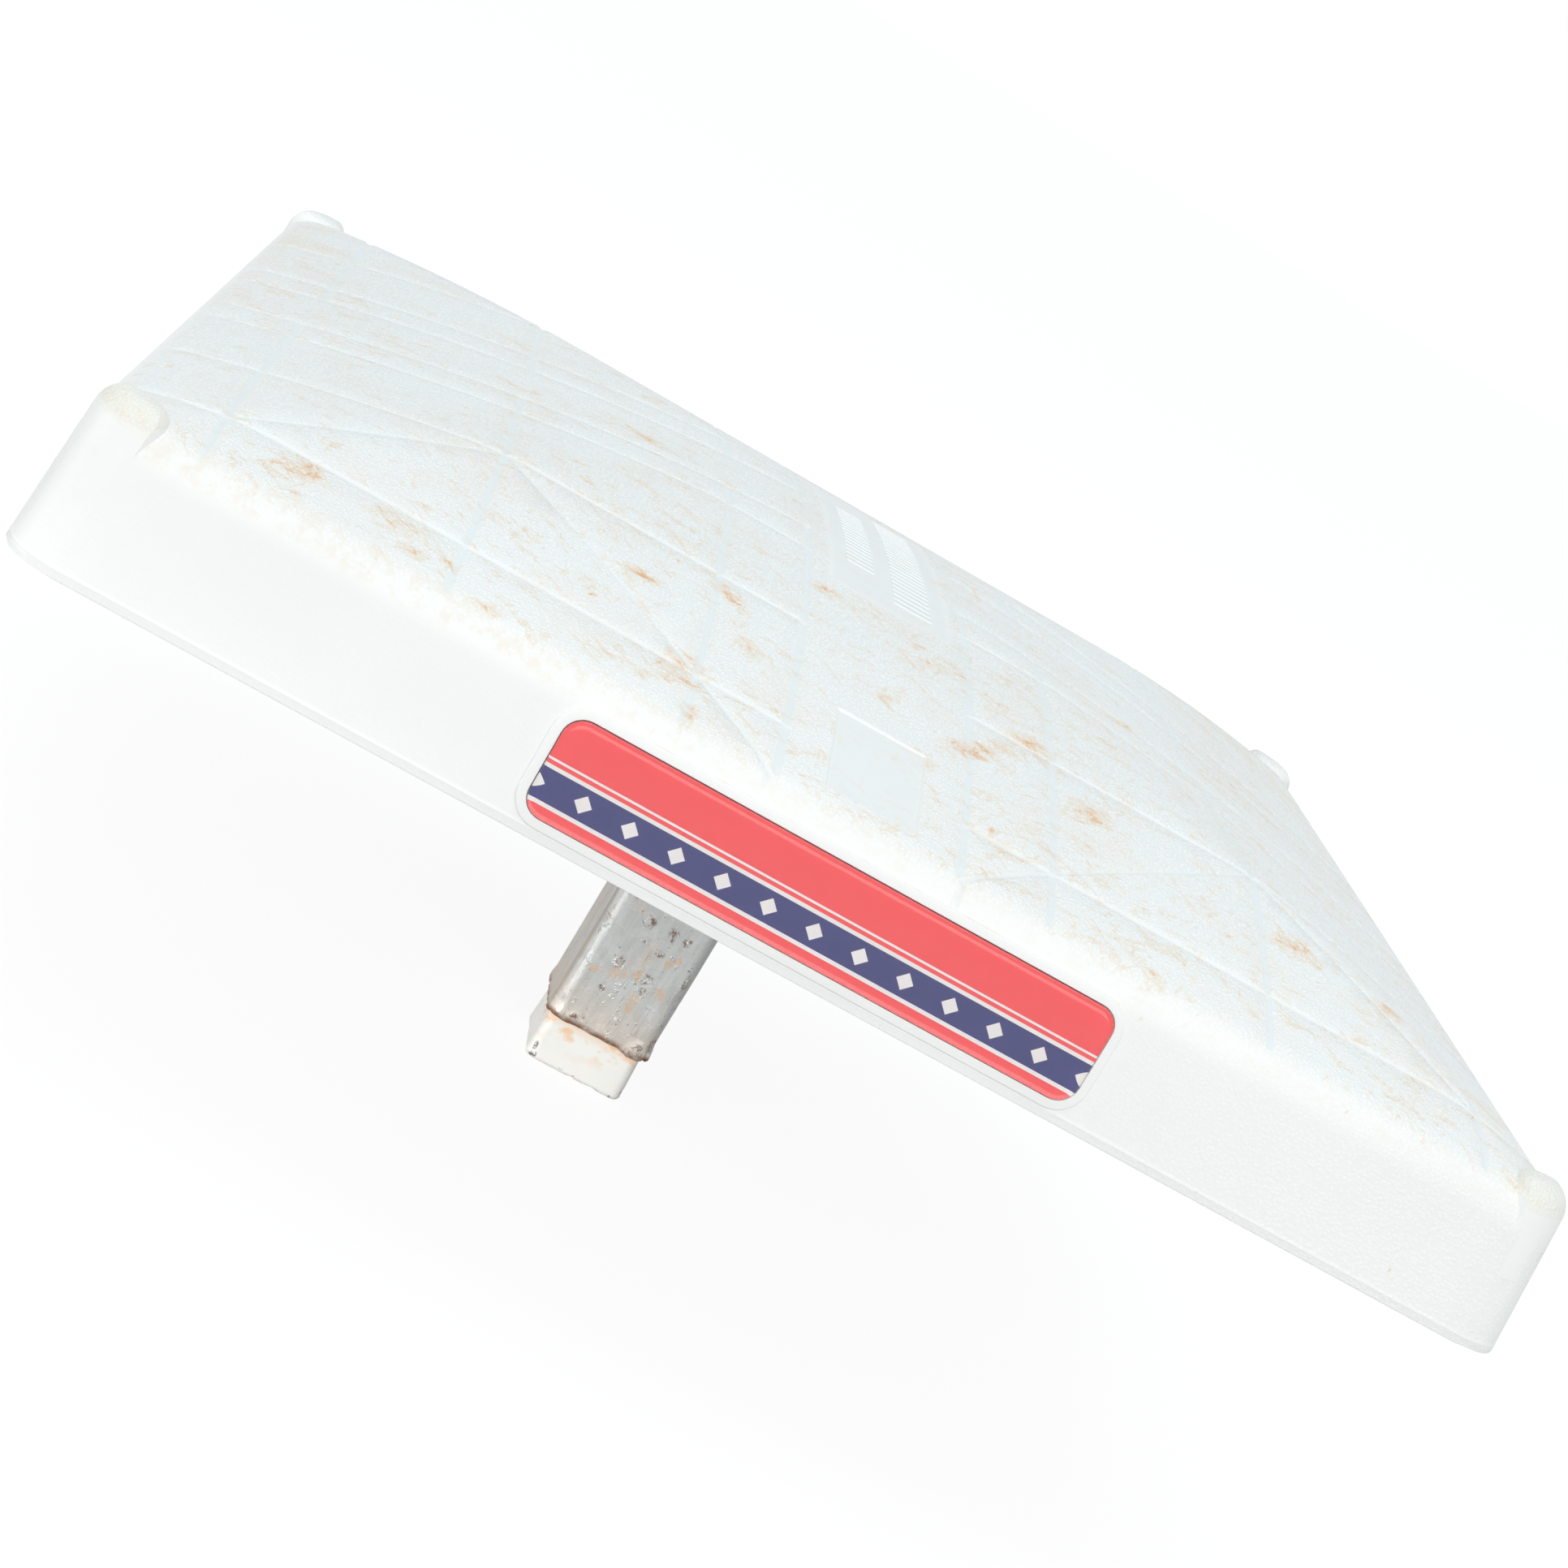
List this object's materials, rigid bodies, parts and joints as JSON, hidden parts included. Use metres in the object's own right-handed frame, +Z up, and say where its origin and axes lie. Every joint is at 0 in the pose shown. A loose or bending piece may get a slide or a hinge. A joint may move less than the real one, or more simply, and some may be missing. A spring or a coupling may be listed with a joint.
{
  "type": "baseball base",
  "caption": "Square white crowned baseball base with a grooved tread, corner nubs and a domed side label, on a square steel stanchion that drops into a ground anchor.",
  "frame": {"origin": "centre of the cover's underside, where the base meets the ground, on the stanchion's axis", "axes": "+Z up out of the ground, +X along the front side that carries the label, +Y from that side to the back"},
  "size_m": [0.4572, 0.4591, 0.204],
  "materials": {
    "cover_rubber": "matt, pebbled",
    "frame_plastic": "moulded",
    "galvanised_steel": "galvanised, worn",
    "weld_steel": "as welded",
    "zinc_steel": "zinc plated",
    "insert_brass": "turned",
    "plug_plastic": "moulded, stained",
    "label_adhesive": "matt",
    "label_film": "printed",
    "label_resin": "clear, poured"
  },
  "bodies": {
    "root": {"cover": "cover_rubber", "support_frame": "frame_plastic", "anchor_plate": "galvanised_steel", "stanchion_tube": "galvanised_steel", "weld_bead": "weld_steel", "end_plug": "plug_plastic", "anchor_bolt_1": "zinc_steel", "anchor_bolt_2": "zinc_steel", "anchor_bolt_3": "zinc_steel", "anchor_bolt_4": "zinc_steel", "bolt_washer_1": "zinc_steel", "bolt_washer_2": "zinc_steel", "bolt_washer_3": "zinc_steel", "bolt_washer_4": "zinc_steel", "threaded_insert_1": "insert_brass", "threaded_insert_2": "insert_brass", "threaded_insert_3": "insert_brass", "threaded_insert_4": "insert_brass", "lip_screw_1": "zinc_steel", "lip_screw_2": "zinc_steel", "lip_screw_3": "zinc_steel", "lip_screw_4": "zinc_steel", "lip_screw_5": "zinc_steel", "lip_screw_6": "zinc_steel", "lip_screw_7": "zinc_steel", "lip_screw_8": "zinc_steel", "label_adhesive": "label_adhesive", "label_print": "label_film", "label_dome": "label_resin"}
  },
  "joints": []
}
